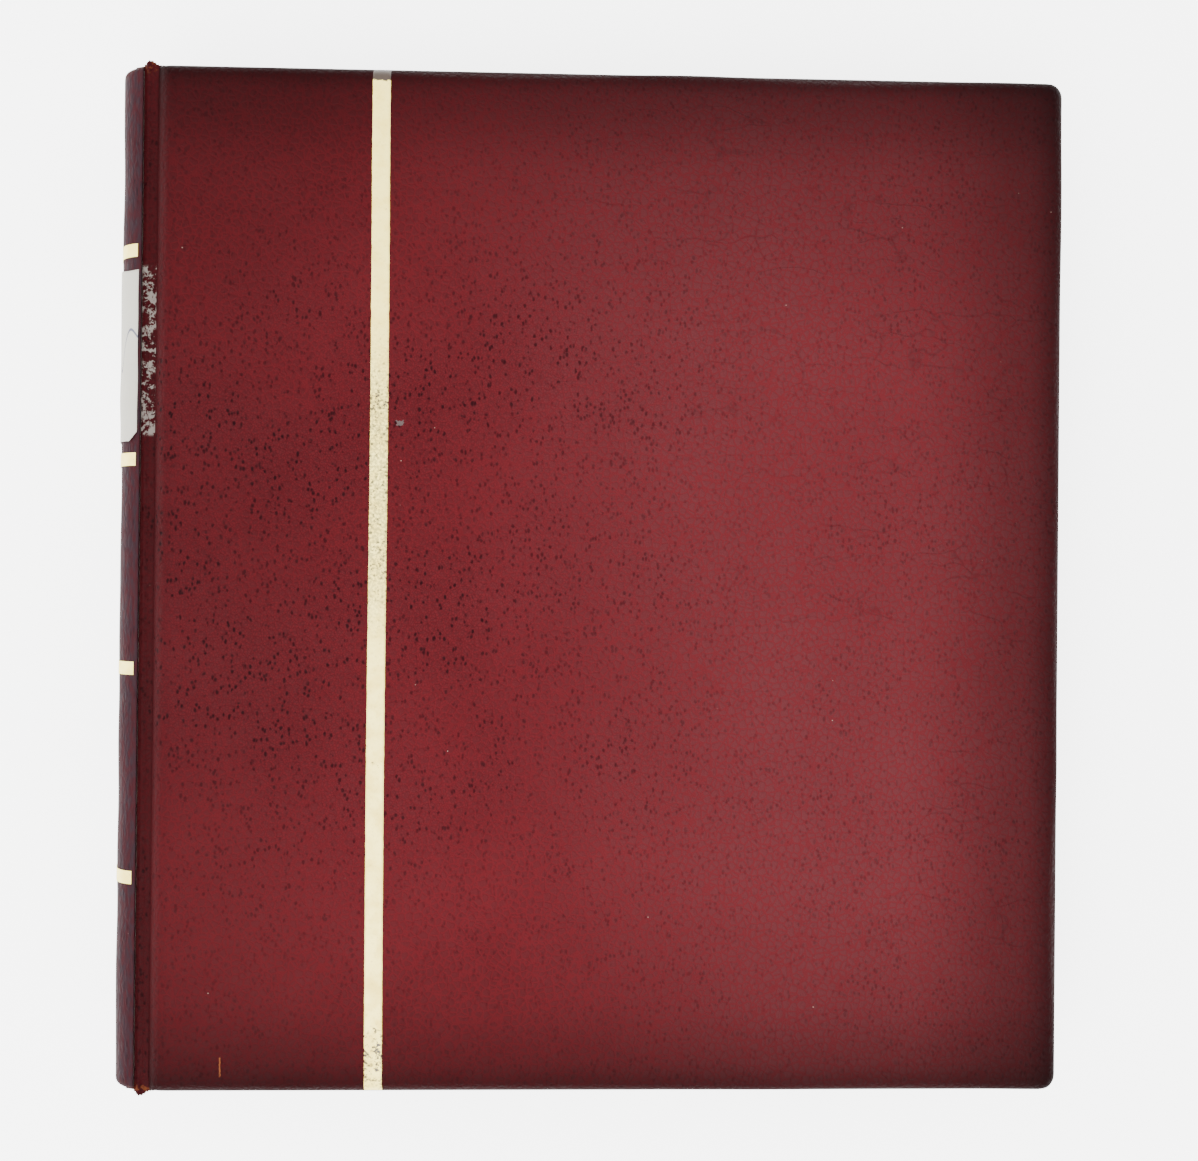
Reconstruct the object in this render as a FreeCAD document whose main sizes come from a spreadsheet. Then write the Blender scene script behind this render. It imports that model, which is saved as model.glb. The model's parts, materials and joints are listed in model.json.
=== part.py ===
import FreeCAD, Part
import math
import os
import re

import Sketcher
from FreeCAD import Placement, Rotation, Vector

# A padded coin album with a four-ring mechanism, lying closed on its back cover.
# Millimetres, +Z up, +Y towards the head, the spine at -X and the fore edge at +X.
# The origin is under the middle of the closed album, on the surface it lies on.
# Both covers turn on flexible joints beside the spine, and the leaves turn on the rings.

SIZES = {
    "album_width": 250.5,             # spine to fore edge
    "album_height": 266,            # tail to head
    "album_thickness": 50,          # between the outer faces of the covers, at the spine
    "cover_slope": 2.5,             # degrees that the front cover falls towards its fore edge
    "leather_thickness": 0.7,
    "padding_thickness": 2.0,
    "board_thickness": 2.0,
    "lining_thickness": 0.3,
    "turn_in_width": 14,            # leather folded over onto the inside of a cover
    "lining_inset": 5,              # lining's edge to the cover's edge
    "corner_radius": 4,
    "edge_round": 1.2,              # rounding of the leather's outer edge
    "layer_gap": 0.05,              # play between a layer and the leather round it
    "joint_spine_side": 1.3,        # joint's axis to the spine
    "joint_cover_side": 3.6,        # joint's axis to the cover
    "joint_end_gap": 0.15,          # each edge of that strip to the piece beside it
    "spine_depth": 9.2,            # rounded back to the spine's flat inside
    "spine_round_height": 42.6,     # across the rounded back, cover to cover
    "spine_crown_radius": 45,
    "spine_shoulder_radius": 9,
    "spine_board_margin": 0.36,     # spine board's edge to the leather at its outer face
    "foil_thickness": 0.12,
    "foil_gap": 0.02,
    "gold_line_width": 4.6,
    "gold_line_offset": 57.3,       # cover's spine edge to the line's middle
    "gold_bar_width": 3.4,
    "gold_bar_spacing": 54.35,
    "gold_bar_lowest": -78,
    "gold_bar_end_gap": 1.0,        # bar's end to the joint
    "gold_bar_count": 4,
    "label_height": 44.6,
    "label_middle": 57.7,
    "label_thickness": 0.2,
    "label_end_gap": 0.6,           # label's edge to the joint
    "label_low_end": 14,            # label's lower edge under the spine's middle
    "rail_length": 226,
    "rail_half_width": 15,
    "rail_rise": 7,
    "rail_wall": 1.0,
    "rail_notch_play": 0.95,        # notch's inner end to the ring's leg
    "notch_width": 4.2,
    "rivet_inset": 8,
    "rivet_radius": 2,
    "rivet_head_radius": 4,
    "rivet_head_height": 1.2,
    "rivet_tail_radius": 3.5,
    "rivet_tail_height": 0.8,
    "rivet_play": 0.05,
    "blade_length": 196,
    "blade_thickness": 0.9,
    "blade_gap": 0.3,               # between the two blades
    "blade_height": 1.3,            # blade's outer edge above the spine lining
    "blade_pivot_inset": 3.8,       # blade's outer edge to the rail's edge
    "blade_set": 3,                 # degrees that the closed blades lean to the spine
    "ring_radius": 14.5,
    "ring_wire_radius": 1.5,
    "ring_crown_gap": 12.3,           # ring's middle to the rail's crown
    "ring_tip_gap": 0.2,
    "ring_turn": 140,               # degrees of the full arc in half a ring
    "ring_bend_radius": 3,
    "ring_spacing": 60,
    "ring_count": 4,
    "leaf_width": 202,
    "leaf_height": 252,
    "leaf_corner_radius": 3,
    "leaf_slope": 2.0,              # degrees that a leaf falls towards its fore edge
    "leaf_step": 16,                # degrees along a ring from leaf to leaf
    "leaf_count": 6,
    "pocket_sheet_thickness": 1.2,
    "interleaf_thickness": 0.4,
    "interleaf_gap": 0.05,
    "slot_length": 10.4,
    "slot_width": 6,
    "slot_margin": 3.2,             # slot's end to the leaf's edge
}

DERIVED = {
    "cover_thickness": "(2 * leather_thickness + padding_thickness + board_thickness"
                       " + lining_thickness)",
    "joint_thickness": "(leather_thickness + lining_thickness)",
    "under_board": "(leather_thickness + padding_thickness + board_thickness)",
    "under_lining": "(under_board + leather_thickness)",
    "hinge_depth": "(cover_thickness - joint_thickness / 2)",
    "spine_face": "(spine_depth - album_width / 2)",
    "hinge_x": "(spine_face + joint_spine_side)",
    "cover_end": "(album_width - spine_depth - joint_spine_side)",
    "middle_z": "(album_thickness / 2)",
    "rail_crown": "(spine_face + rail_rise)",
    "ring_x": "(rail_crown + ring_crown_gap)",
}

SHEET_NAME = "sizes"
PARTS_FOLDER = "parts"
LONG = 1000.0       # reaches past the whole album, for cutting tools
CLOSE = 1e-4        # heights nearer than this are one height
NEARLY_UPRIGHT = 0.99

document = FreeCAD.newDocument("coin_album")
sheet = document.addObject("Spreadsheet::Sheet", SHEET_NAME)
for row, (alias, number) in enumerate(SIZES.items(), start=1):
    sheet.set(f"A{row}", alias)
    sheet.set(f"B{row}", str(number))
    sheet.setAlias(f"B{row}", alias)
document.recompute()

subparts = []


# ---- sizes -----------------------------------------------------------------------

def formula(text):
    """Write a formula of size names in the way that the document's expressions need."""
    word = re.compile(r"[a-z_]+")
    while any(name in DERIVED for name in word.findall(text)):
        text = word.sub(lambda found: DERIVED.get(found.group(), found.group()), text)
    return word.sub(lambda found: (f"<<{SHEET_NAME}>>.{found.group()}"
                                   if found.group() in SIZES else found.group()), text)


def bind(item, **formulas):
    """Tie properties of a document object to formulas of the sheet's sizes."""
    for name, text in formulas.items():
        item.setExpression(name, formula(text))


def size(name):
    """The number that the sheet holds under a name."""
    return float(getattr(sheet, name))


cover_thickness = (2 * size("leather_thickness") + size("padding_thickness")
                   + size("board_thickness") + size("lining_thickness"))
joint_thickness = size("leather_thickness") + size("lining_thickness")
hinge_depth = cover_thickness - joint_thickness / 2
spine_face = size("spine_depth") - size("album_width") / 2
hinge_x = spine_face + size("joint_spine_side")
middle_z = size("album_thickness") / 2
rail_crown = spine_face + size("rail_rise")
ring_x = rail_crown + size("ring_crown_gap")
blade_x = spine_face + size("blade_height")
blade_pivot = size("rail_half_width") - size("blade_pivot_inset")


# ---- building blocks ---------------------------------------------------------------

def new_body(label):
    """Start a body that becomes one sub-part."""
    body = document.addObject("PartDesign::Body", label)
    body.Label = label
    subparts.append(body)
    return body


def new_sketch(body, name, raised):
    """Attach a sketch to the body's own XY plane, raised by a bound offset."""
    sketch = body.newObject("Sketcher::SketchObject", f"{body.Name}_{name}")
    origin_plane = [item for item in body.Origin.OriginFeatures if item.Role == "XY_Plane"][0]
    sketch.AttachmentSupport = [(origin_plane, "")]
    sketch.MapMode = "FlatFace"
    sketch.setExpression("AttachmentOffset.Base.z", formula(raised))
    return sketch


def fix(sketch, kind, element, point, text):
    """Place one point of a sketch at a bound distance from the sketch's origin."""
    number = sketch.addConstraint(Sketcher.Constraint(kind, -1, 1, element, point, 1.0))
    sketch.setExpression(f"Constraints[{number}]", formula(text))


def rectangle(sketch, left, right, bottom, top):
    """Draw a rectangle whose four sides are bound."""
    first = sketch.GeometryCount
    corners = [Vector(-1, -1), Vector(1, -1), Vector(1, 1), Vector(-1, 1)]
    for index in range(4):
        sketch.addGeometry(Part.LineSegment(corners[index], corners[(index + 1) % 4]), False)
    for index in range(4):
        sketch.addConstraint(Sketcher.Constraint(
            "Coincident", first + index, 2, first + (index + 1) % 4, 1))
        direction = "Vertical" if index % 2 else "Horizontal"
        sketch.addConstraint(Sketcher.Constraint(direction, first + index))
    fix(sketch, "DistanceX", first, 1, left)
    fix(sketch, "DistanceY", first, 1, bottom)
    fix(sketch, "DistanceX", first + 2, 1, right)
    fix(sketch, "DistanceY", first + 2, 1, top)


def pad(body, sketch, length, middle=False):
    """Thicken a sketch by a bound length, upwards or to both sides."""
    feature = body.newObject("PartDesign::Pad", f"{sketch.Name}_pad")
    feature.Profile = sketch
    feature.Midplane = middle
    bind(feature, Length=length)
    return feature


def pocket(body, sketch, depth, middle=False):
    """Cut a sketch's outline by a bound depth, upwards or to both sides."""
    feature = body.newObject("PartDesign::Pocket", f"{sketch.Name}_pocket")
    feature.Profile = sketch
    feature.Midplane = middle
    feature.Reversed = not middle
    bind(feature, Length=depth)
    return feature


def round_edges(body, radius, chosen):
    """Round the edges of the body's present shape that a test picks."""
    document.recompute()
    names = [f"Edge{number}" for number, edge in enumerate(body.Shape.Edges, start=1)
             if chosen(edge)]
    base = body.Tip
    feature = body.newObject("PartDesign::Fillet", f"{base.Name}_rounded")
    feature.Base = (base, names)
    bind(feature, Radius=radius)
    body.Tip = feature
    return feature


def is_upright(edge):
    """Tell whether a straight edge runs along Z."""
    return edge.Curve.TypeId == "Part::GeomLine" and abs(edge.tangentAt(0).z) > NEARLY_UPRIGHT


def is_at_height(z):
    """Make a test for edges that lie wholly at one height."""
    def chosen(edge):
        box = edge.BoundBox
        return abs(box.ZMin - z) < CLOSE and abs(box.ZMax - z) < CLOSE
    return chosen


def repeat_along_y(body, feature, sketch, spacing, count):
    """Repeat a feature of a body along Y at a bound spacing."""
    pattern = body.newObject("PartDesign::LinearPattern", f"{feature.Name}_row")
    pattern.Originals = [feature]
    pattern.Direction = (sketch, ["V_Axis"])
    pattern.Mode = "Spacing"
    bind(pattern, Offset=spacing, Occurrences=count)
    body.Tip = pattern
    return pattern


def place(item, x="0", z="0", tilt="0"):
    """Put a sub-part at a bound place, tilted about Y by a bound angle."""
    item.Placement = Placement(Vector(0, 0, 0), Rotation(Vector(0, 1, 0), 1))
    item.setExpression("Placement.Base.x", formula(x))
    item.setExpression("Placement.Base.z", formula(z))
    item.setExpression("Placement.Rotation.Angle", f"({formula(tilt)}) * 1 deg")


def shape_part(label, shape):
    """Keep a shape that its own code has worked out as a sub-part."""
    item = document.addObject("Part::Feature", label)
    item.Label = label
    item.Shape = shape
    subparts.append(item)
    return item


# ---- covers ------------------------------------------------------------------------
# A cover's own origin is on the axis of its joint. The layers are named from the outer
# face inwards: leather, padding, board, the leather's turned-in edge with a filling card
# level with it, and the lining. The front cover has its outer face up, the back cover down.

def layer_base(outward, near, far):
    """The lower side of a layer that lies between two depths under the outer face."""
    if outward > 0:
        return f"(hinge_depth - ({far}))"
    return f"(({near}) - hinge_depth)"


def cover_outline(sketch, inset):
    """Draw a cover's outline, drawn in on every side."""
    rectangle(sketch, f"joint_cover_side + ({inset})", f"cover_end - ({inset})",
              f"({inset}) - album_height / 2", f"album_height / 2 - ({inset})")


def place_cover_layer(item, outward):
    """Put a layer of the front or back cover on its joint."""
    if outward > 0:
        place(item, "hinge_x", "album_thickness - hinge_depth", "cover_slope")
    else:
        place(item, "hinge_x", "hinge_depth")


def cover_layer(label, outward, near, far, inset, corner):
    """Make a flat layer of a cover between two depths under the outer face."""
    body = new_body(label)
    sketch = new_sketch(body, "outline", raised=layer_base(outward, near, far))
    cover_outline(sketch, inset)
    pad(body, sketch, f"({far}) - ({near})")
    round_edges(body, corner, is_upright)
    place_cover_layer(body, outward)


def cover_leather(label, outward):
    """Make the leather: an outer face, walls round the edge and a turned-in rim."""
    body = new_body(label)
    whole = new_sketch(body, "outline", raised=layer_base(outward, "0", "under_lining"))
    cover_outline(whole, "0")
    pad(body, whole, "under_lining")
    round_edges(body, "corner_radius", is_upright)
    outer_z = hinge_depth if outward > 0 else -hinge_depth
    round_edges(body, "edge_round", is_at_height(outer_z))
    window = new_sketch(body, "window", raised=layer_base(outward, "under_board", "under_lining"))
    cover_outline(window, "turn_in_width")
    pocket(body, window, "leather_thickness")
    return body


def hollow_leather(label, outward):
    """Make a cover's leather skin by taking the space of the layers out of its outside."""
    skin = cover_leather(f"{label}_outside", outward)
    subparts.remove(skin)
    filling = new_body(f"{label}_inside")
    subparts.remove(filling)
    sketch = new_sketch(filling, "space", raised=layer_base(outward, "leather_thickness", "under_board"))
    cover_outline(sketch, "leather_thickness")
    pad(filling, sketch, "padding_thickness + board_thickness")
    round_edges(filling, "corner_radius - leather_thickness", is_upright)
    cut = document.addObject("Part::Cut", label)
    cut.Label = label
    cut.Base = skin
    cut.Tool = filling
    subparts.append(cut)
    place_cover_layer(cut, outward)


def make_cover(name, outward):
    """Make every layer of one cover."""
    inner_inset = "leather_thickness + layer_gap"
    inner_corner = "corner_radius - leather_thickness - layer_gap"
    hollow_leather(f"{name}_cover_leather", outward)
    cover_layer(f"{name}_cover_padding", outward, "leather_thickness",
                "leather_thickness + padding_thickness", inner_inset, inner_corner)
    cover_layer(f"{name}_cover_board", outward, "leather_thickness + padding_thickness",
                "under_board", inner_inset, inner_corner)
    cover_layer(f"{name}_cover_filling_card", outward, "under_board", "under_lining",
                "turn_in_width + layer_gap", "layer_gap")
    cover_layer(f"{name}_cover_lining", outward, "under_lining", "cover_thickness",
                "lining_inset", "corner_radius")


def make_gold_line():
    """Make the foil line down the front cover, on the flat of its outer face."""
    body = new_body("front_cover_gold_line")
    sketch = new_sketch(body, "outline", raised="hinge_depth + foil_gap")
    middle = "joint_cover_side + gold_line_offset"
    rectangle(sketch, f"{middle} - gold_line_width / 2", f"{middle} + gold_line_width / 2",
              "edge_round - album_height / 2", "album_height / 2 - edge_round")
    pad(body, sketch, "foil_thickness")
    place_cover_layer(body, 1)


# ---- spine -------------------------------------------------------------------------
# The spine is flat inside and round outside. Its rounded back is one flat crown arc
# between two tighter shoulder arcs, drawn in the XZ plane about the middle of the spine.

shoulder_z = size("spine_round_height") / 2 - size("spine_shoulder_radius")
shoulder_reach = size("spine_crown_radius") - size("spine_shoulder_radius")
shoulder_lean = math.asin(shoulder_z / shoulder_reach)
crown_x = size("spine_crown_radius") - size("album_width") / 2
shoulder_x = crown_x - shoulder_reach * math.cos(shoulder_lean)


def half_section(inset, x):
    """Half the height of the spine's section at x, drawn in from the outside by an inset."""
    shoulder = size("spine_shoulder_radius") - inset
    return shoulder_z + math.sqrt(shoulder ** 2 - (x - shoulder_x) ** 2)


def rounded_back(inset, face_x):
    """The spine's section, drawn in from the outside by an inset and flat at face_x."""
    crown = size("spine_crown_radius") - inset
    shoulder = size("spine_shoulder_radius") - inset
    edge_z = half_section(inset, face_x)
    meet = Vector(crown_x - crown * math.cos(shoulder_lean), 0, crown * math.sin(shoulder_lean))
    half_way = math.radians(180) - (math.atan2(edge_z - shoulder_z, face_x - shoulder_x)
                                    + math.radians(180) - shoulder_lean) / 2
    bulge = Vector(shoulder_x - shoulder * math.cos(half_way), 0,
                   shoulder_z + shoulder * math.sin(half_way))
    top = Vector(face_x, 0, edge_z)
    tip = Vector(crown_x - crown, 0, 0)

    def low(point):
        return Vector(point.x, 0, -point.z)

    edges = [
        Part.LineSegment(low(top), top).toShape(),
        Part.Arc(top, bulge, meet).toShape(),
        Part.Arc(meet, tip, low(meet)).toShape(),
        Part.Arc(low(meet), low(bulge), low(top)).toShape(),
    ]
    return Part.Face(Part.Wire(edges))


def along_spine(face, low_y, high_y):
    """Stretch a section of the spine from one height up the spine to another."""
    section = face.copy()
    section.translate(Vector(0, low_y, middle_z))
    return section.extrude(Vector(0, high_y - low_y, 0))


def slab(x_low, x_high, y_low, y_high, z_low, z_high):
    """A plain block between two opposite corners."""
    return Part.makeBox(x_high - x_low, y_high - y_low, z_high - z_low,
                        Vector(x_low, y_low, z_low))


def rod(x_low, length, y, radius):
    """A round rod along +X in the middle of the spine."""
    return Part.makeCylinder(radius, length, Vector(x_low, y, middle_z), Vector(1, 0, 0))


def make_spine():
    """Make the leather, padding, board and lining of the spine."""
    half_height = size("album_height") / 2
    leather = size("leather_thickness")
    gap = size("layer_gap")
    board_outer = spine_face - size("lining_thickness") - size("board_thickness")
    inner = rounded_back(leather, spine_face)
    outside = along_spine(rounded_back(0, spine_face), -half_height, half_height)
    inside = along_spine(inner, leather - half_height, half_height - leather)
    shape_part("spine_leather", outside.cut(inside))

    padding = along_spine(rounded_back(leather + gap, board_outer),
                          leather + gap - half_height, half_height - leather - gap)
    shape_part("spine_padding", padding)

    board_z = (min(half_section(leather, spine_face), half_section(leather, board_outer))
               - size("spine_board_margin"))
    end_y = half_height - leather - gap
    rivet_y = size("rail_length") / 2 - size("rivet_inset")
    hole_radius = size("rivet_radius") + size("rivet_play")
    board = slab(board_outer, spine_face - size("lining_thickness"), -end_y, end_y,
                 middle_z - board_z, middle_z + board_z)
    lining = slab(spine_face - size("lining_thickness"), spine_face, -end_y, end_y,
                  middle_z - board_z, middle_z + board_z)
    for y in (-rivet_y, rivet_y):
        hole = rod(board_outer, size("spine_depth"), y, hole_radius)
        seat = rod(board_outer, size("rivet_tail_height"), y,
                   size("rivet_tail_radius") + size("rivet_play"))
        board = board.cut(hole).cut(seat)
        lining = lining.cut(hole)
    shape_part("spine_board", board)
    shape_part("spine_lining", lining)


def wrap_on_spine(inset_low, thickness, face_x, low_y, high_y):
    """A thin layer that hugs the rounded back from one height up the spine to another."""
    outer = rounded_back(-inset_low - thickness, face_x)
    inner = rounded_back(-inset_low, face_x)
    return along_spine(outer, low_y, high_y).cut(along_spine(inner, low_y, high_y))


def make_spine_trim():
    """Make the gold bars across the spine and the paper label between two of them."""
    gap = size("foil_gap")
    half_bar = size("gold_bar_width") / 2
    bars = []
    for index in range(int(size("gold_bar_count"))):
        y = size("gold_bar_lowest") + index * size("gold_bar_spacing")
        bars.append(wrap_on_spine(gap, size("foil_thickness"),
                                  spine_face - size("gold_bar_end_gap"),
                                  y - half_bar, y + half_bar))
    shape_part("spine_gold_bars", Part.makeCompound(bars))

    half_label = size("label_height") / 2
    label = wrap_on_spine(gap, size("label_thickness"), spine_face - size("label_end_gap"),
                          size("label_middle") - half_label, size("label_middle") + half_label)
    below = slab(-LONG, LONG, -LONG, LONG, -LONG, middle_z - size("label_low_end"))
    shape_part("spine_label", label.cut(below))


def make_joints():
    """Make the flexible leather and lining strips between the spine and the covers."""
    gap = size("joint_end_gap")
    end_y = size("album_height") / 2
    low_x = spine_face + gap
    high_x = hinge_x + size("joint_cover_side") - gap
    leather = size("leather_thickness")
    thickness = size("album_thickness")
    crease = cover_thickness - joint_thickness
    for name, flip in (("back", False), ("front", True)):
        layers = (("leather", crease, crease + leather),
                  ("lining", crease + leather, cover_thickness))
        for layer, near, far in layers:
            low_z = thickness - far if flip else near
            high_z = thickness - near if flip else far
            shape_part(f"{name}_joint_{layer}", slab(low_x, high_x, -end_y, end_y, low_z, high_z))


# ---- ring mechanism ----------------------------------------------------------------
# An arched rail stands on the spine lining. Two blades lie under it, edge to edge, and
# each carries half of every ring through a notch in the rail.

def ring_heights():
    """The places of the rings up the spine."""
    count = int(size("ring_count"))
    first = -size("ring_spacing") * (count - 1) / 2
    return [first + index * size("ring_spacing") for index in range(count)]


def ring_leg_z():
    """How far a ring's leg is from the middle of the rail."""
    reach = size("ring_radius") + size("ring_bend_radius")
    return reach * math.sin(math.radians(size("ring_turn"))) - size("ring_bend_radius")


def make_rail():
    """Make the arched steel rail and the two rivets that hold it to the spine."""
    half = size("rail_half_width")
    rise = size("rail_rise")
    wall = size("rail_wall")
    half_length = size("rail_length") / 2
    radius = (half ** 2 + rise ** 2) / (2 * rise)
    axis_x = rail_crown - radius
    outer = Part.makeCylinder(radius, 2 * half_length, Vector(axis_x, -half_length, middle_z),
                              Vector(0, 1, 0))
    inner = Part.makeCylinder(radius - wall, 2 * half_length,
                              Vector(axis_x, -half_length, middle_z), Vector(0, 1, 0))
    kept = slab(spine_face, LONG, -LONG, LONG, middle_z - half, middle_z + half)
    rail = outer.cut(inner).common(kept)
    notch = size("notch_width") / 2
    notch_inner = ring_leg_z() - size("ring_wire_radius") - size("rail_notch_play")
    for y in ring_heights():
        for low, high in ((-half - wall, -notch_inner), (notch_inner, half + wall)):
            rail = rail.cut(slab(-LONG, LONG, y - notch, y + notch,
                                 middle_z + low, middle_z + high))
    rivet_y = half_length - size("rivet_inset")
    rivets = []
    board_outer = spine_face - size("lining_thickness") - size("board_thickness")
    for y in (-rivet_y, rivet_y):
        shank = rod(board_outer, rail_crown - board_outer, y, size("rivet_radius"))
        head = rod(rail_crown, size("rivet_head_height"), y, size("rivet_head_radius"))
        tail = rod(board_outer, size("rivet_tail_height"), y, size("rivet_tail_radius"))
        rivets.append(shank.fuse([head, tail]).removeSplitter())
        rail = rail.cut(rod(spine_face, LONG, y, size("rivet_radius") + size("rivet_play")))
    shape_part("mechanism_rail", rail)
    shape_part("mechanism_rivets", Part.makeCompound(rivets))


def make_blades():
    """Make the lower and the upper blade, closed and leaning a little to the spine."""
    half_thickness = size("blade_thickness") / 2
    half_length = size("blade_length") / 2
    for name, side in (("lower", -1), ("upper", 1)):
        pivot_z = middle_z + side * blade_pivot
        inner_z = middle_z + side * size("blade_gap") / 2
        blade = slab(blade_x - half_thickness, blade_x + half_thickness, -half_length, half_length,
                     min(pivot_z, inner_z), max(pivot_z, inner_z))
        blade.rotate(Vector(blade_x, 0, pivot_z), Vector(0, 1, 0), side * size("blade_set"))
        shape_part(f"{name}_blade", blade)


def half_ring(side):
    """Half a ring about its own middle: a wide arc, a small bend and a leg to the blade."""
    radius = size("ring_radius")
    bend = size("ring_bend_radius")
    start = math.degrees(size("ring_tip_gap") / 2 / radius)
    turn = size("ring_turn")

    def on_arc(degrees):
        angle = math.radians(degrees)
        return Vector(radius * math.cos(angle), 0, side * radius * math.sin(angle))

    tip = on_arc(start)
    end = on_arc(turn)
    reach = radius + bend
    bend_middle = Vector(end.x * reach / radius, 0, end.z * reach / radius)
    leg_start = Vector(bend_middle.x, 0, side * ring_leg_z())
    outward = (end - bend_middle) + (leg_start - bend_middle)
    bend_point = bend_middle + outward.normalize() * bend
    leg_end = Vector(blade_x + size("blade_thickness") / 2 - ring_x, 0, leg_start.z)
    path = Part.Wire([
        Part.Arc(tip, on_arc((start + turn) / 2), end).toShape(),
        Part.Arc(end, bend_point, leg_start).toShape(),
        Part.LineSegment(leg_start, leg_end).toShape(),
    ])
    heading = Vector(-tip.z, 0, tip.x)
    section = Part.Wire(Part.Circle(tip, heading, size("ring_wire_radius")).toShape())
    return path.makePipeShell([section], True, True)


def make_rings():
    """Make both halves of every ring."""
    for name, side in (("lower", -1), ("upper", 1)):
        half = half_ring(side)
        for number, y in enumerate(ring_heights(), start=1):
            ring = half.copy()
            ring.translate(Vector(ring_x, y, middle_z))
            shape_part(f"{name}_half_ring_{number}", ring)


# ---- leaves ------------------------------------------------------------------------
# A leaf's own origin is the middle of its slots, where the rings pass through.

def leaf_sheet(label, base, thickness, angle):
    """Make one sheet of a leaf, with a slot for every ring, hung on the rings."""
    body = new_body(label)
    outline = new_sketch(body, "outline", raised=base)
    rectangle(outline, "-(slot_length / 2 + slot_margin)",
              "leaf_width - slot_length / 2 - slot_margin", "-leaf_height / 2", "leaf_height / 2")
    pad(body, outline, thickness)
    round_edges(body, "leaf_corner_radius", is_upright)
    slot = new_sketch(body, "slot", raised=base)
    first_ring = "ring_spacing * (ring_count - 1) / 2"
    rectangle(slot, "-slot_length / 2", "slot_length / 2",
              f"-{first_ring} - slot_width / 2", f"slot_width / 2 - {first_ring}")
    cut = pocket(body, slot, thickness)
    repeat_along_y(body, cut, slot, "ring_spacing", "ring_count")
    place(body, f"ring_x + ring_radius * cos({angle} * 1 deg)",
          f"middle_z + ring_radius * sin({angle} * 1 deg)", "leaf_slope")


def make_leaves():
    """Make the leaves from the top down, each a pocket sheet with a card under it."""
    count = int(size("leaf_count"))
    for index in range(count):
        angle = f"(leaf_step * ({(count - 1) / 2} - {index}))"
        leaf_sheet(f"leaf_{index + 1}_pocket_sheet", "0", "pocket_sheet_thickness", angle)
        leaf_sheet(f"leaf_{index + 1}_interleaf", "-(interleaf_thickness + interleaf_gap)",
                   "interleaf_thickness", angle)


# ---- the whole album ---------------------------------------------------------------

make_cover("back", -1)
make_cover("front", 1)
make_gold_line()
make_spine()
make_spine_trim()
make_joints()
make_rail()
make_blades()
make_rings()
make_leaves()
document.recompute()

for item in document.Objects:
    if "Invalid" in item.State or "Error" in item.State:
        raise RuntimeError(f"{item.Label} did not build: {item.State}")
for item in subparts:
    if item.Shape.isNull() or not item.Shape.isValid() or not item.Shape.Solids:
        raise RuntimeError(f"{item.Label} has no sound solid")

os.makedirs(PARTS_FOLDER, exist_ok=True)
for item in subparts:
    item.Shape.exportStep(os.path.join(PARTS_FOLDER, f"{item.Label}.step"))
    print(item.Label, len(item.Shape.Solids), round(item.Shape.Volume, 1), item.Shape.BoundBox)
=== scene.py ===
import json
import math

import bmesh
import bpy
import numpy as np
from mathutils import Euler, Matrix, Vector


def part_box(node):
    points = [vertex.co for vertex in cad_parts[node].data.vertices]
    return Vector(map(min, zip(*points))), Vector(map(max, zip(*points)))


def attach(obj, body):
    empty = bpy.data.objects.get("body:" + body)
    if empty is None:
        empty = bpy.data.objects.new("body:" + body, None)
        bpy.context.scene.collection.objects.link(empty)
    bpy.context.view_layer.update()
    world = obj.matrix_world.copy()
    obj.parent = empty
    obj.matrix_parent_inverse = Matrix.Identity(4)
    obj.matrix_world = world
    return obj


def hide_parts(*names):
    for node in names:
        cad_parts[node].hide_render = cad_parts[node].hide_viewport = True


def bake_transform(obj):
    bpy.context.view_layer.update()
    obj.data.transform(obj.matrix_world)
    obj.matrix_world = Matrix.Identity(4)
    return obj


# The looks of a padded coin album, built round its packed mechanical frame.
# Shapes are worked out in millimetres and made in metres, in the frame's own axes.

bl_info = {
    "name": "Coin album looks",
    "version": (1, 0, 0),
    "blender": (4, 5, 0),
    "location": "3D view > Sidebar > Coin album",
    "description": "Builds the soft and painted pieces of a coin album round its frame",
    "category": "Add Mesh",
}

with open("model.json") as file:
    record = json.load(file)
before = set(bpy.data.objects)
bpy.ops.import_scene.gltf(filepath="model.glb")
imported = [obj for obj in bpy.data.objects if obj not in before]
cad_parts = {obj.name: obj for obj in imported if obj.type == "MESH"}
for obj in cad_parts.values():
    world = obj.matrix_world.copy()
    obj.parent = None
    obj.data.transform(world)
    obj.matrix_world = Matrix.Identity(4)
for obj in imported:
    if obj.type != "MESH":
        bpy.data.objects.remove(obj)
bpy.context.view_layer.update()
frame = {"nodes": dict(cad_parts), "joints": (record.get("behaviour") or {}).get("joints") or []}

MM = 0.001
SMALL = 1e-4            # millimetres within which two points are one
FRONT_SEED, BACK_SEED = 3, 4    # which waves the padding of each cover has
SWELL_REACH = 26        # millimetres from a cover's edge to where its padding is full
FLOOR_HALF = 4000.0     # half of the floor's side, in millimetres
FLOOR_LEVEL = -0.35     # just under the lowest waves of the back cover's padding


# ---- places in the frame -------------------------------------------------------------

def joint_place(name):
    """Where a joint's axis is, in millimetres."""
    joint = next(joint for joint in frame["joints"] if joint["name"] == name)
    return Vector(joint["pos_m"]) / MM


def box_mm(node):
    """The lowest and highest corner of a frame node, in millimetres."""
    low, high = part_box(node)
    return low / MM, high / MM


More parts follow.
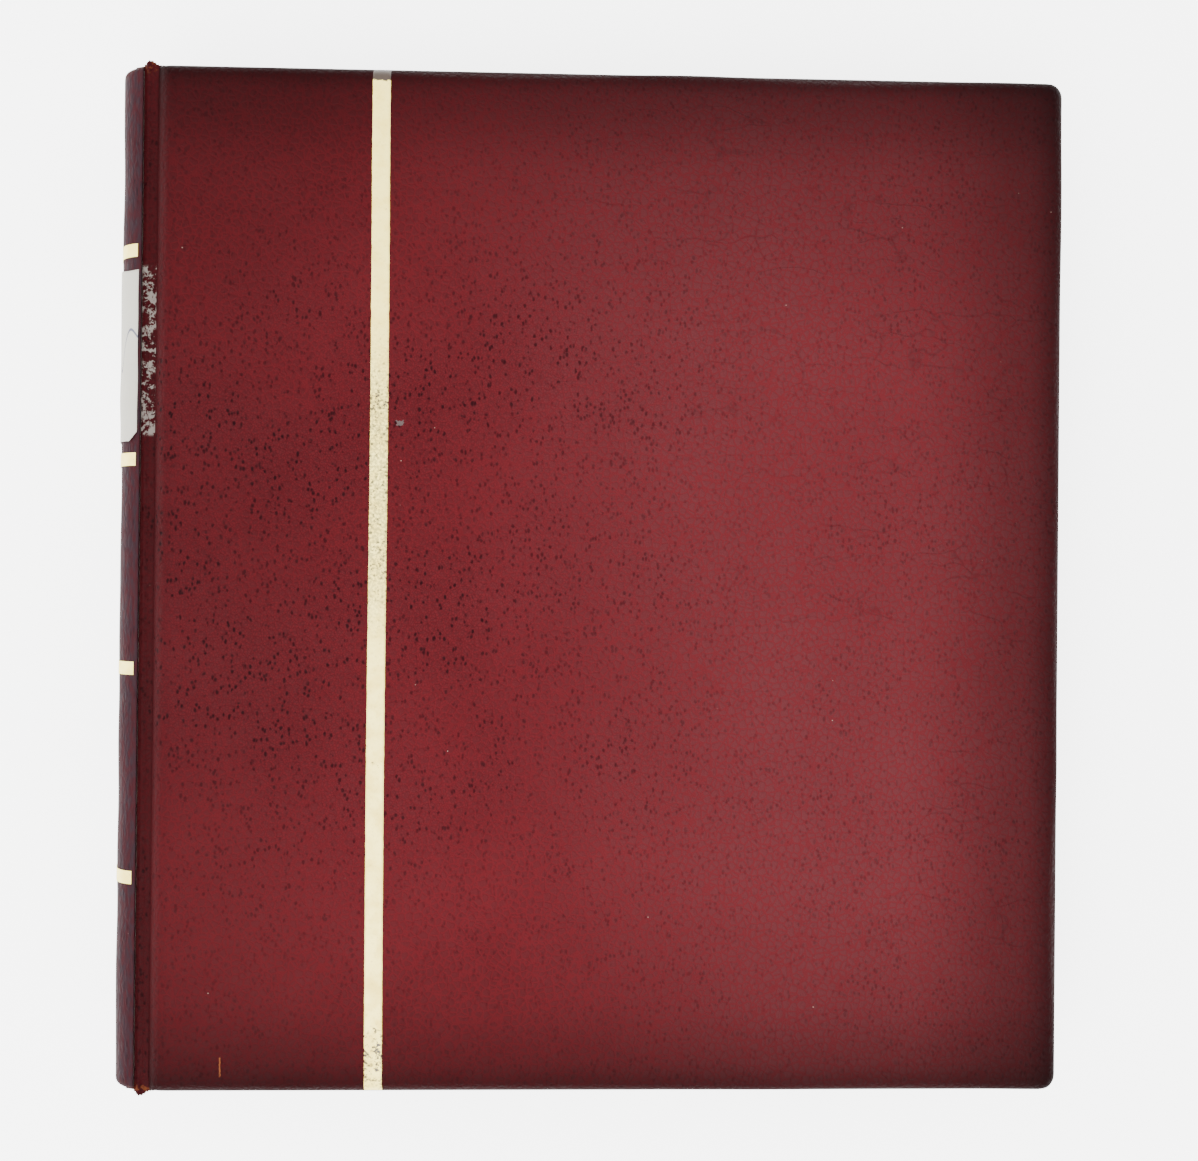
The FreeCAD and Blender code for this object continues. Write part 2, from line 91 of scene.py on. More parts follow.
FRONT_AXIS = joint_place("front_hinge")
BACK_AXIS = joint_place("spine_hinge")
SPINE_LOW, SPINE_HIGH = box_mm("spine_leather")
BACK_LOW, BACK_HIGH = box_mm("back_cover_leather")
SPINE_FACE = SPINE_HIGH.x
HALF_HEIGHT = BACK_HIGH.y
COVER_START = BACK_LOW.x - BACK_AXIS.x
COVER_END = BACK_HIGH.x - BACK_AXIS.x
OUTER_FACE = BACK_AXIS.z - BACK_LOW.z          # the joint's axis to a cover's outer face
INNER_RIM = BACK_AXIS.z - BACK_HIGH.z          # the same to the leather's turned-in rim
BOARD_FACE = BACK_AXIS.z - box_mm("back_cover_board")[0].z
MIDDLE_Z = (SPINE_LOW.z + SPINE_HIGH.z) / 2


# ---- settings ------------------------------------------------------------------------

def length(label, about, default):
    """A setting that is a length in millimetres."""
    return bpy.props.FloatProperty(name=label, description=about, default=default, min=0.0,
                                   unit="NONE", subtype="DISTANCE")


def angle(label, about, degrees):
    """A setting that is an angle, given in degrees."""
    return bpy.props.FloatProperty(name=label, description=about,
                                   default=math.radians(degrees), unit="ROTATION",
                                   subtype="ANGLE")


def share(label, about, default):
    """A setting that is a plain share or strength."""
    return bpy.props.FloatProperty(name=label, description=about, default=default,
                                   subtype="FACTOR", unit="NONE")


class CoinAlbumCoverSettings(bpy.types.PropertyGroup):
    """Sizes of the two padded covers, in millimetres."""

    slope: angle("Slope", "How far the front cover falls to its fore edge", 2.5)
    corner: length("Corner", "Radius of a cover's corners", 4.0)
    edge: length("Edge", "Radius of the padded edge", 3.6)
    swell: length("Swell", "How much the padding stands up in the middle", 0.35)
    wave: length("Wave", "Height of the soft waves in the padding", 0.16)
    edge_wave: length("Edge wave", "How far the edges wander in and out", 0.28)
    foot: length("Foot", "How far the padding reaches over the joint", 1.5)
    turn_in: length("Turn-in", "Width of the leather folded to the inside", 14.0)
    leather: length("Leather", "Thickness of the leather", 0.7)
    line_middle: length("Line", "Cover's spine edge to the middle of the gold line", 57.3)
    line_width: length("Line width", "Width of the gold line", 4.6)


class CoinAlbumSpineSettings(bpy.types.PropertyGroup):
    """Sizes of the rounded spine, in millimetres."""

    crown: length("Crown", "Radius of the back's middle", 45.0)
    shoulder: length("Shoulder", "Radius of the back's shoulders", 9.0)
    height: length("Height", "Across the rounded back", 42.6)
    end_round: length("End", "Radius of the padding at the spine's ends", 1.6)
    label_fold: length("Fold", "Length of the label's folded corner", 2.4)


class CoinAlbumStageSettings(bpy.types.PropertyGroup):
    """The camera and the lights."""

    lens: length("Lens", "Focal length on a 36 mm sensor", 45.44)
    camera: bpy.props.FloatVectorProperty(
        name="Camera", description="Where the camera is, in millimetres", size=3,
        default=(6.84, -1.4, 437.6), unit="NONE", subtype="XYZ")
    camera_turn: bpy.props.FloatVectorProperty(
        name="Camera turn", description="Turns that bring the album before the camera",
        size=3, default=tuple(math.radians(turn) for turn in (-0.24, -0.47, -0.53)),
        unit="ROTATION", subtype="EULER")
    key_power: share("Key light", "Power of the large light, in watts", 17.0)
    fill_power: share("Fill light", "Power of the light across the spine, in watts", 2.5)
    sky: share("Sky", "Strength of the pale surroundings", 2.6)


# ---- meshes --------------------------------------------------------------------------

def waves(first, second, seed, shortest, longest):
    """Soft waves over two coordinates, between about -1 and 1, always the same for a seed."""
    dice = np.random.default_rng(seed)
    total = np.zeros(np.broadcast(first, second).shape)
    count = 9
    for _ in range(count):
        wavelength = dice.uniform(shortest, longest)
        turn, phase = dice.uniform(0, 2 * math.pi, 2)
        across = first * math.cos(turn) + second * math.sin(turn)
        total += np.sin(2 * math.pi * across / wavelength + phase)
    return total / math.sqrt(count)


def smooth(value, low, high):
    """0 below low, 1 above high and a soft step between them."""
    share_up = np.clip((value - low) / (high - low), 0, 1)
    return share_up * share_up * (3 - 2 * share_up)


def new_piece(name, points, faces, finish):
    """Make a piece from points in millimetres, welded where points meet."""
    mesh = bpy.data.meshes.new(name)
    mesh.from_pydata([Vector(point) * MM for point in points], [], faces)
    work = bmesh.new()
    work.from_mesh(mesh)
    bmesh.ops.remove_doubles(work, verts=work.verts, dist=SMALL * MM)
    bmesh.ops.dissolve_degenerate(work, edges=work.edges, dist=SMALL * MM)
    bmesh.ops.recalc_face_normals(work, faces=work.faces)
    for face in work.faces:
        face.smooth = True
    work.to_mesh(mesh)
    work.free()
    piece = bpy.data.objects.new(name, mesh)
    bpy.context.scene.collection.objects.link(piece)
    piece.data.materials.append(finish.material)
    return piece


def strips(rows, columns, start=0, closed=False):
    """Faces between rows of points that are numbered row by row."""
    faces = []
    for row in range(rows - 1):
        for column in range(columns if closed else columns - 1):
            following = (column + 1) % columns
            here, above = start + row * columns, start + (row + 1) * columns
            faces.append((here + column, here + following, above + following, above + column))
    return faces


def sheet(rows, columns):
    """Faces of a closed sheet: its upper points row by row, then its lower points."""
    half = rows * columns
    faces = strips(rows, columns) + strips(rows, columns, start=half)
    rim = [*range(columns), *range(2 * columns - 1, half, columns),
           *range(half - 2, half - columns - 1, -1), *range(half - 2 * columns, 0, -columns)]
    for number, point in enumerate(rim):
        after = rim[(number + 1) % len(rim)]
        faces.append((point, after, half + after, half + point))
    return faces


def spread(low, high, count, edge_share=0.5):
    """Numbers from low to high, closer together towards both ends."""
    even = np.linspace(0, 1, count)
    eased = (1 - np.cos(even * math.pi)) / 2
    return low + (high - low) * ((1 - edge_share) * even + edge_share * eased)


def rounded_loop(across, along, radius, inset, corner_steps=6):
    """Points round a rounded rectangle that is drawn in, its straight sides given."""
    left, right = across[0] - radius, across[-1] + radius
    low, high = along[0] - radius, along[-1] + radius
    reach = max(inset, radius)
    xs = np.interp(across, (across[0], across[-1]), (left + reach, right - reach))
    ys = np.interp(along, (along[0], along[-1]), (low + reach, high - reach))
    bend = max(radius - inset, 0)
    points = []

    def corner(x, y, quarter):
        square = 0.8 if quarter in (1, 2) else 0.0
        for step in range(1, corner_steps):
            turn = (quarter + step / corner_steps) * math.pi / 2
            way_x, way_y = math.cos(turn), math.sin(turn)
            reach_out = bend / max(abs(way_x), abs(way_y)) ** square
            points.append((x + reach_out * way_x, y + reach_out * way_y))

    points += [(x, low + inset) for x in xs]
    corner(xs[-1], ys[0], 3)
    points += [(right - inset, y) for y in ys]
    corner(xs[-1], ys[-1], 0)
    points += [(x, high - inset) for x in xs[::-1]]
    corner(xs[0], ys[-1], 1)
    points += [(left + inset, y) for y in ys[::-1]]
    corner(xs[0], ys[0], 2)
    return points


# ---- finishes ------------------------------------------------------------------------

class Value:
    """Something that varies over a surface, with the arithmetic of its finish."""

    def __init__(self, finish, socket):
        self.finish, self.socket = finish, socket

    def __add__(self, other):
        return self.finish.sum(self, "ADD", other)

    def __radd__(self, other):
        return self.finish.sum(other, "ADD", self)

    def __sub__(self, other):
        return self.finish.sum(self, "SUBTRACT", other)

    def __rsub__(self, other):
        return self.finish.sum(other, "SUBTRACT", self)

    def __mul__(self, other):
        return self.finish.sum(self, "MULTIPLY", other)

    def __rmul__(self, other):
        return self.finish.sum(other, "MULTIPLY", self)

    def __truediv__(self, other):
        return self.finish.sum(self, "DIVIDE", other)

    def __rtruediv__(self, other):
        return self.finish.sum(other, "DIVIDE", self)

    def __abs__(self):
        return self.finish.sum(self, "ABSOLUTE", 0.0)


class Finish:
    """A material whose looks are worked out by nodes, in the frame's metres."""

    def __init__(self, name):
        self.material = bpy.data.materials.new(name)
        self.material.use_nodes = True
        self.tree = self.material.node_tree
        self.surface = self.tree.nodes["Principled BSDF"]
        self.place = self.node("ShaderNodeTexCoord", output="Object")
        self.x, self.y, self.z = (
            self.node("ShaderNodeSeparateXYZ", sockets={"Vector": self.place}, output=axis)
            for axis in "XYZ")

    def put(self, socket, value):
        """Give a socket a constant, or link it to what varies."""
        if isinstance(value, Value):
            self.tree.links.new(value.socket, socket)
        elif isinstance(value, tuple) and socket.type == "RGBA":
            socket.default_value = (*value, 1.0)
        else:
            socket.default_value = value

    def node(self, kind, settings=None, sockets=None, output=0):
        """Add any other node: its type, its settings first, then its sockets."""
        made = self.tree.nodes.new(kind)
        for name, value in (settings or {}).items():
            setattr(made, name, value)
        for name, value in (sockets or {}).items():
            self.put(made.inputs[name], value)
        return Value(self, made.outputs[output])

    def sum(self, first, operation, second):
        """One step of arithmetic between two numbers."""
        return self.node("ShaderNodeMath", {"operation": operation}, {0: first, 1: second})

    def lowest(self, first, second):
        """The smaller of two numbers."""
        return self.sum(first, "MINIMUM", second)

    def highest(self, first, second):
        """The larger of two numbers."""
        return self.sum(first, "MAXIMUM", second)

    def step(self, value, low, high):
        """0 where the value is at low, 1 where it is at high, and soft between them."""
        return self.node("ShaderNodeMapRange", {"interpolation_type": "SMOOTHSTEP"},
                         {"Value": value, "From Min": low, "From Max": high}, "Result")

    def scaled(self, *factors, turn=0.0):
        """The place on the surface, stretched along each axis and turned about Z."""
        return self.node("ShaderNodeMapping", {},
                         {"Vector": self.place, "Scale": factors, "Rotation": (0, 0, turn)})

    def noise(self, per_metre, detail=3.0, place=None, rough=0.5):
        """Soft noise with so many grains to the metre."""
        return self.node("ShaderNodeTexNoise", {},
                         {"Vector": place or self.place, "Scale": per_metre, "Detail": detail,
                          "Roughness": rough}, "Fac")

    def cells(self, per_metre, feature="SMOOTH_F1", place=None, output="Distance"):
        """Distances or colours of cells, with so many cells to the metre."""
        return self.node("ShaderNodeTexVoronoi", {"feature": feature},
                         {"Vector": place or self.place, "Scale": per_metre}, output)

    def mix(self, factor, first, second):
        """A colour between two colours."""
        return self.node("ShaderNodeMix", {"data_type": "RGBA"},
                         {"Factor": factor, 6: first, 7: second}, 2)

    def bump(self, height, distance, strength=1.0):
        """Raise the surface by a height, and so far, in millimetres, at most."""
        normal = self.node("ShaderNodeBump", {},
                           {"Height": height, "Distance": distance * MM,
                            "Strength": strength}, "Normal")
        self.put(self.surface.inputs["Normal"], normal)

    def set(self, **values):
        """Set sockets of the surface, whose names are written with underscores."""
        for name, value in values.items():
            self.put(self.surface.inputs[name.replace("_", " ")], value)


WHITE_DUST = (0.28, 0.20, 0.16)
FRAYED = (0.110, 0.032, 0.010)
CHIP_GREY = (0.070, 0.058, 0.055)
GLUE_PALE = (0.16, 0.14, 0.125)
BURGUNDY = (0.057, 0.0062, 0.0082)
BURGUNDY_DEEP = (0.050, 0.0046, 0.0064)
# Greyish painted sheen for the covers.
BURGUNDY_PAINTED_SHEEN = (0.063, 0.0122, 0.0145)
BURGUNDY_BRIGHT = (0.078, 0.0055, 0.0080)
BURGUNDY_PIT = (0.010, 0.0008, 0.0018)
# Near-black burgundy, painted shade for the covers' edges, the spine and the joints.
BURGUNDY_PAINTED_SHADE = (0.0020, 0.0001, 0.0002)
# Grey-purple painted sheen for the spine.
SPINE_PAINTED_SHEEN = (0.0150, 0.0105, 0.0140)
GOLD, GOLD_DULL = (1.0, 0.83, 0.22), (0.90, 0.70, 0.15)
GOLD_CLOUD, GOLD_PIT = (0.34, 0.29, 0.085), (0.045, 0.038, 0.012)
GOLD_GONE = (0.030, 0.016, 0.008)
LINING_DEEP, LINING = (0.024, 0.0030, 0.0045), (0.034, 0.0045, 0.0065)
# A cover's colour is darkened towards each side as painted shade: from where to where, in
# metres, and to what share.
EDGE_SHADES = (("top", -0.001, 0.0075, 0.28), ("top", 0.002, 0.030, 0.56),
               ("top", 0.004, 0.085, 0.66), ("side", -0.002, 0.011, 0.27),
               ("side", 0.004, 0.044, 0.50), ("foot", -0.001, 0.009, 0.42),
               ("foot", 0.001, 0.026, 0.60), ("foot", 0.002, 0.060, 0.72),
               ("joint", -0.004, 0.006, 0.50), ("joint", 0.002, 0.075, 0.74))


def warped(finish, place, per_metre, amount):
    """A place that wanders by soft noise, in metres."""
    cloud = finish.node("ShaderNodeTexNoise", {}, {"Vector": finish.place, "Scale": per_metre},
                        "Color")
    return finish.node("ShaderNodeMix", {"data_type": "VECTOR"},
                       {"Factor": amount, 4: place, 5: cloud}, 1)


def leather_finish(name, stretch=(1.0, 1.0, 1.0), cover=False, painted_shade=0.0, glue=False):
    """Fine-grained burgundy leatherette, with painted shade towards a cover's edges and over the
    spine and joints, and a painted sheen on the covers and the spine.
    """
    finish = Finish(name)
    place = warped(finish, finish.scaled(*stretch), 420.0, 0.0011)
    grain = finish.cells(560.0, "DISTANCE_TO_EDGE", place)
    fine = finish.cells(1500.0, "DISTANCE_TO_EDGE", place)
    slanted = warped(finish, finish.scaled(1.3 * stretch[0], 0.85 * stretch[1], 1.0, turn=0.35),
                     420.0, 0.0011)
    pits = finish.cells(640.0, "F1", slanted)
    strength = finish.step(finish.noise(26.0, 3.0), 0.34, 0.66)
    if cover:
        to_left = 1.0 - finish.step(finish.x, -0.030, 0.045)
        level = 1.0 - finish.step(abs(finish.y - 0.005), 0.035, 0.105)
        strength = 0.28 * strength + 0.90 * to_left * level * (0.60 + 0.40 * strength)
    line = 1.0 - finish.step(grain, 0.02, 0.16)
    small = 1.0 - finish.step(fine, 0.02, 0.20)
    pit = (1.0 - finish.step(pits, 0.16, 0.44)) * finish.step(
        finish.noise(300.0, 2.0), 0.38, 0.56)
    cloud = finish.step(finish.noise(17.0, 4.0), 0.30, 0.70)
    tone = finish.mix(cloud, BURGUNDY_DEEP, BURGUNDY)
    if cover:
        # Painted sheen: the cover's leather turns greyer from its middle towards the fore edge.
        grey = finish.step(finish.x + 0.15 * finish.y, -0.045, 0.055)
        tone = finish.mix(grey * (0.75 + 0.25 * cloud), tone, BURGUNDY_PAINTED_SHEEN)
    tone = finish.mix(0.55 * line * (1.0 - 0.4 * strength), tone, BURGUNDY_BRIGHT)
    tone = finish.mix((0.20 + 0.72 * strength) * pit, tone, BURGUNDY_PIT)
    tone = finish.mix(0.30 * small * strength, tone, BURGUNDY_PIT)
    rough = 0.46 + 0.18 * finish.noise(180.0, 3.0) + 0.10 * line
    height = (0.55 * finish.step(grain, 0.0, 0.30) + 0.20 * finish.step(fine, 0.0, 0.30)
              + 0.35 * finish.noise(150.0, 4.0) - 0.35 * pit)
    if cover:
        wander = 0.003 * (finish.noise(30.0, 3.0) - 0.5)
        away = {"top": HALF_HEIGHT * MM - finish.y + wander,
                "foot": finish.y + HALF_HEIGHT * MM + wander,
                "side": (COVER_END + BACK_AXIS.x) * MM - finish.x + wander,
                "joint": finish.x - (COVER_START + BACK_AXIS.x) * MM + wander}
        # Painted shade: the leather darkens towards the cover's top, foot, fore edge and joint
        # edge.
        light = 1.0
        for edge, near, far, least in EDGE_SHADES:
            light = light * (least + (1.0 - least) * finish.step(away[edge], near, far))
        tone = finish.mix(light, BURGUNDY_PAINTED_SHADE, tone)
        bent = warped(finish, finish.scaled(0.36, 1.0, 1.0, turn=0.30), 80.0, 0.009)
        crease = finish.cells(150.0, "DISTANCE_TO_EDGE", bent)
        right = finish.step(finish.x + 0.45 * finish.y, -0.02, 0.09)
        creased = (1.0 - finish.step(crease, 0.0, 0.050)) * right * finish.step(
            finish.noise(1.0, 3.0, place=finish.scaled(60.0, 130.0, 60.0, turn=0.30)),
            0.44, 0.66)
        height = height - 0.50 * creased
        tone = finish.mix(0.20 * creased, tone, BURGUNDY_PIT)
        scratch = spot(finish, -0.0928, -0.1256, 0.00024, 0.0026)
        chip = spot(finish, -0.0483, 0.0405, 0.0010, 0.0007)
        tone = finish.mix(scratch, tone, FRAYED)
        tone = finish.mix(0.8 * chip, tone, CHIP_GREY)
    # Painted shade: the whole spine or joint strip is darkened towards near-black burgundy by
    # this share.
    if painted_shade:
        tone = finish.mix(painted_shade, tone, BURGUNDY_PAINTED_SHADE)
        ends = finish.step(abs(finish.y), HALF_HEIGHT * MM - 0.0025, HALF_HEIGHT * MM)
        frayed = ends * finish.step(finish.noise(620.0, 3.0, rough=0.7), 0.50, 0.58)
        tone = finish.mix(0.55 * frayed, tone, FRAYED)
    if glue:
        beside = (finish.step(finish.y, 0.0365, 0.0375) * (
            1.0 - finish.step(finish.y, 0.0805, 0.0815)) * finish.step(finish.z, 0.03, 0.031))
        flake = beside * finish.step(finish.noise(520.0, 4.0, rough=0.75), 0.51, 0.56)
        tone = finish.mix(0.75 * flake, tone, GLUE_PALE)
        height = height + 0.5 * flake
    # Painted sheen: stretched grey-purple patches over the spine's leather.
    if stretch[0] > 1.0:
        pale = finish.step(finish.noise(1.0, 4.0, place=finish.scaled(900.0, 300.0, 900.0)),
                           0.38, 0.66)
        tone = finish.mix(0.35 + 0.45 * pale, tone, SPINE_PAINTED_SHEEN)
    dust = finish.cells(230.0, "F1", output="Distance")
    chosen = finish.node("ShaderNodeSeparateColor", {}, {
        "Color": finish.cells(230.0, "F1", output="Color")}, "Red")
    dusty = (1.0 - finish.step(dust, 0.02, 0.045)) * finish.step(chosen, 0.900, 0.905)
    tone = finish.mix(0.65 * dusty, tone, WHITE_DUST)
    finish.bump(height, 0.17, 0.8)
    finish.set(Base_Color=tone, Roughness=rough, Specular_IOR_Level=0.03)
    return finish


def spot(finish, x, y, half_width, half_height):
    """1 inside a small ragged mark at a place on the front cover, in metres."""
    ragged = 1.8 * (finish.noise(1300.0, 2.0) - 0.5)
    across = abs(finish.x - x) / half_width
    along = abs(finish.y - y) / half_height
    over = finish.step(finish.z, 0.020, 0.021)
    return over * (1.0 - finish.step(finish.highest(across, along) + ragged, 0.75, 1.0))


def gold_finish(name, line=False):
    """Pale gold foil, rubbed through in specks and patches."""
    finish = Finish(name)
    patches = finish.noise(70.0, 4.0, rough=0.6)
    specks = finish.noise(900.0, 4.0, rough=0.7)
    wear = 0.30
    if line:
        y = finish.y
        middle = finish.step(y, -0.022, 0.006) * (1.0 - finish.step(y, 0.040, 0.072))
        head = finish.step(y, 0.1285, 0.1300)
        tail = 1.0 - finish.step(y, -0.126, -0.108)
        wear = 0.16 + 0.26 * middle + 1.3 * head + 0.42 * tail
    worn = finish.step(specks + 0.55 * patches, 1.02 - 0.36 * wear, 1.14 - 0.36 * wear)
    dull = finish.step(finish.noise(260.0, 3.0), 0.35, 0.75)
    tone = finish.mix(dull, GOLD, GOLD_DULL)
    if line:
        pits = 1.0 - finish.step(finish.cells(820.0, "F1"), 0.18, 0.46)
        cloudy = finish.step(finish.noise(1500.0, 2.0), 0.36, 0.60)
        tone = finish.mix(0.75 * middle * cloudy, tone, GOLD_CLOUD)
        tone = finish.mix((0.12 + 0.75 * middle + 0.45 * tail) * pits * cloudy, tone,
                          GOLD_PIT)
    tone = finish.mix(worn, tone, GOLD_GONE)
    grain = finish.cells(820.0)
    finish.bump(0.5 * (1.0 - grain) + 0.5 * finish.noise(500.0, 3.0) - 0.4 * worn, 0.10, 0.7)
    finish.set(Base_Color=tone, Metallic=0.15 * (1.0 - worn), Roughness=0.42 + 0.2 * dull)
    return finish


def paper_finish(name, tone_one, tone_two, fibre=700.0, emboss=0.0, stain=None, ink=None):
    """Paper or card, with fibres and an uneven tone."""
    finish = Finish(name)
    fibres = finish.noise(fibre, 5.0, rough=0.7)
    cloud = finish.noise(35.0, 4.0)
    tone = finish.mix(finish.step(cloud, 0.3, 0.7), tone_one, tone_two)
    tone = finish.mix(0.20 * finish.step(fibres, 0.55, 0.75), tone,
                      tuple(0.6 * part for part in tone_one))
    if stain:
        spots = finish.step(finish.noise(95.0, 4.0, rough=0.7), 0.62, 0.80)
        tone = finish.mix(0.5 * spots, tone, stain)
    if ink:
        swing = finish.node("ShaderNodeMath", {"operation": "SINE"}, {0: finish.z * 1150.0})
        curl = finish.node("ShaderNodeMath", {"operation": "SINE"}, {0: finish.z * 420.0})
        off = abs(finish.y - 0.0600 - 0.0042 * swing - 0.0022 * curl)
        stroke = (1.0 - finish.step(off, 0.00022, 0.00050)) * finish.step(
            finish.z, 0.0355, 0.0360)
        tone = finish.mix(0.8 * stroke, tone, ink)
    height = fibres
    if emboss:
        height = fibres + emboss * finish.cells(620.0)
    finish.bump(height, 0.06, 0.7)
    finish.set(Base_Color=tone, Roughness=0.68 + 0.2 * fibres)
    return finish


def foam_finish(name):
    """Soft open foam."""
    finish = Finish(name)
    pores = finish.cells(1500.0, "F1")
    finish.bump(pores, 0.2, 0.8)
    finish.set(Base_Color=finish.mix(finish.step(pores, 0.1, 0.6), (0.45, 0.42, 0.34),
                                     (0.78, 0.74, 0.64)), Roughness=0.85 + 0.1 * pores)
    return finish


def steel_finish(name):
    """Nickel-plated steel with fine rolling marks and a few dull spots."""
    finish = Finish(name)
    rolled = finish.noise(1.0, 4.0, place=finish.scaled(5200.0, 40.0, 5200.0))
    spots = finish.step(finish.noise(130.0, 5.0, rough=0.7), 0.58, 0.72)
    tone = finish.mix(0.5 * rolled, (0.66, 0.65, 0.63), (0.50, 0.49, 0.47))
    tone = finish.mix(0.35 * spots, tone, (0.36, 0.33, 0.28))
    finish.bump(rolled, 0.01, 0.5)
    finish.set(Base_Color=tone, Metallic=1.0, Roughness=0.20 + 0.14 * rolled + 0.2 * spots)
    return finish


def film_finish(name, columns=4, rows=5):
    """Clear film, welded into rows of pockets, each with a thumb cut."""
    finish = Finish(name)
    low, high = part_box("leaf_1_pocket_sheet")
    margin = 0.018

    def to_seam(value, start, end, count):
        """How far a place is from the nearest seam, in metres."""
        return finish.node("ShaderNodeMath", {"operation": "PINGPONG"},
                           {0: value - start, 1: (end - start) / count / 2})

    left, right = low.x + margin, high.x - 0.003
    foot, head = low.y + 0.003, high.y - 0.003
    across = to_seam(finish.x, left, right, columns)
    along = to_seam(finish.y, foot, head, rows)
    seam = 1.0 - finish.step(finish.lowest(across, along), 0.0006, 0.0012)
    pitch = (head - foot) / rows
    rise = finish.node("ShaderNodeMath", {"operation": "MODULO"}, {0: finish.y - foot, 1: pitch})
    mouth = 1.0 - finish.step(abs(rise - 0.88 * pitch), 0.0003, 0.0007)
    thumb = finish.step(across, 0.010, 0.022)
    mouth = mouth * finish.step(across, 0.0012, 0.0020) * (1.0 - 0.5 * thumb)
    margin_strip = 1.0 - finish.step(finish.x - left, -0.0004, 0.0002)
    ribs = finish.node("ShaderNodeMath", {"operation": "SINE"},
                       {0: (finish.x + finish.y) * 9000.0})
    haze = finish.noise(60.0, 5.0, rough=0.6)
    scratch = finish.step(finish.noise(1.0, 3.0, place=finish.scaled(30.0, 900.0, 30.0,
                                                                    turn=0.6)), 0.68, 0.74)
    lines = finish.highest(seam, mouth)
    tone = finish.mix(finish.highest(lines, 0.5 * margin_strip), (0.42, 0.46, 0.48),
                      (0.62, 0.65, 0.66))
    finish.bump(0.5 * haze + seam * ribs + 0.6 * mouth + 0.2 * scratch, 0.12, 0.6)
    finish.set(Base_Color=tone, Roughness=0.12 + 0.30 * lines + 0.12 * scratch,
               Alpha=0.18 + 0.55 * lines + 0.22 * margin_strip + 0.06 * haze,
               Specular_IOR_Level=0.35)
    return finish


def floor_finish(name):
    """A plain pale floor with the faintest unevenness."""
    finish = Finish(name)
    cloud = finish.noise(3.0, 2.0)
    finish.set(Base_Color=finish.mix(cloud, (0.90, 0.90, 0.90), (0.93, 0.93, 0.93)),
               Roughness=0.80 + 0.1 * cloud, Emission_Color=(1.0, 1.0, 1.0),
               Emission_Strength=3.0)
    return finish


# ---- covers --------------------------------------------------------------------------
# A cover is worked out in its own frame: the origin on its joint's axis, X to the fore
# edge and Z to its outer face.

def front_place(points):
    """Move points of the front cover's own frame to the closed album."""
    slope = bpy.context.scene.coin_album_cover.slope
    turn = Matrix.Rotation(slope, 3, "Y")
    return [FRONT_AXIS + turn @ Vector(point) for point in points]


def back_place(points):
    """Move points of the back cover's own frame to the closed album, outer face down."""
    return [BACK_AXIS + Vector((x, y, -z)) for x, y, z in points]


def outer_height(x, y, seed):
    """The height of a cover's padded outer face over its own frame."""
    cover = bpy.context.scene.coin_album_cover
    inside = np.minimum(np.minimum(x - COVER_START, COVER_END - x), HALF_HEIGHT - np.abs(y))
    inside = np.clip(inside, 0, None)
    edge = np.clip(cover.edge - inside, 0, cover.edge)
    rounding = cover.edge - np.sqrt(cover.edge ** 2 - edge ** 2)
    calm = smooth(inside, 0.5, 14)
    top = OUTER_FACE - cover.swell * (1 - smooth(inside, 0, SWELL_REACH))
    return top - rounding + cover.wave * calm * waves(x, y, seed, 26, 95)


def cover_skin(name, seed, placed, finish):
    """A cover's leather and padding as one closed piece, turned in round the board."""
    cover = bpy.context.scene.coin_album_cover
    radius = cover.corner
    across = spread(COVER_START + radius, COVER_END - radius, 120)
    along = spread(radius - HALF_HEIGHT, HALF_HEIGHT - radius, 130)
    profile = [(radius, "top")]
    for step in range(9):
        profile.append((cover.edge * (1 - math.sin(math.radians(90) * step / 8)), "top"))
    profile += [(0.0, INNER_RIM + 1.0), (0.05, INNER_RIM + 0.4), (0.35, INNER_RIM + 0.05),
                (0.8, INNER_RIM), (6.0, INNER_RIM), (cover.turn_in, INNER_RIM),
                (cover.turn_in, INNER_RIM + cover.leather),
                (cover.leather, INNER_RIM + cover.leather),
                (cover.leather, BOARD_FACE), (radius, BOARD_FACE)]
    loops = []
    for inset, height in profile:
        loop = np.array(rounded_loop(across, along, radius, inset))
        if height == "top":
            edge = cover.edge - min(inset, cover.edge)
            rounding = cover.edge - math.sqrt(cover.edge ** 2 - edge ** 2)
            height = outer_height(loop[:, 0], loop[:, 1], seed)
            flat = OUTER_FACE - cover.swell * (1 - smooth(inset, 0, SWELL_REACH)) - rounding
            height = np.where(inset >= radius, height, flat)
        loops.append(np.column_stack([loop, np.full(len(loop), height)]))
    columns = len(loops[0])
    points = list(np.concatenate(loops))
    faces = strips(len(loops), columns, closed=True)
    grid_x, grid_y = np.meshgrid(across, along)
    for level in (outer_height(grid_x, grid_y, seed), np.full(grid_x.shape, BOARD_FACE)):
        faces += strips(len(along), len(across), start=len(points))
        points += list(np.column_stack([grid_x.ravel(), grid_y.ravel(), level.ravel()]))
    points = np.array(points, float)
    x, y, z = points.T
    outside = smooth(z, INNER_RIM + 0.2, INNER_RIM + 0.6) * (x < COVER_START + 12)
    outside *= ~np.isclose(z, BOARD_FACE) * (x - COVER_START < cover.edge + SMALL)
    fall = np.clip((OUTER_FACE - z) / (OUTER_FACE - INNER_RIM), 0, 1)
    lowered = cover.foot * fall ** 1.6 * outside
    near_edge = 1 - smooth(np.minimum(COVER_END - x, HALF_HEIGHT - abs(y)), 2, 16)
    shell = smooth(np.abs(z - BOARD_FACE), 0.2, 1.2)
    out_x = np.where(COVER_END - x < HALF_HEIGHT - abs(y), 1.0, 0.0)
    drift = cover.edge_wave * near_edge * shell
    points[:, 0] = x - lowered + drift * out_x * waves(y, 0 * y, seed + 1, 40, 130)
    points[:, 1] = y + drift * (1 - out_x) * np.sign(y) * waves(x, y, seed + 2, 40, 130)
    return new_piece(name, placed(points), faces, finish)


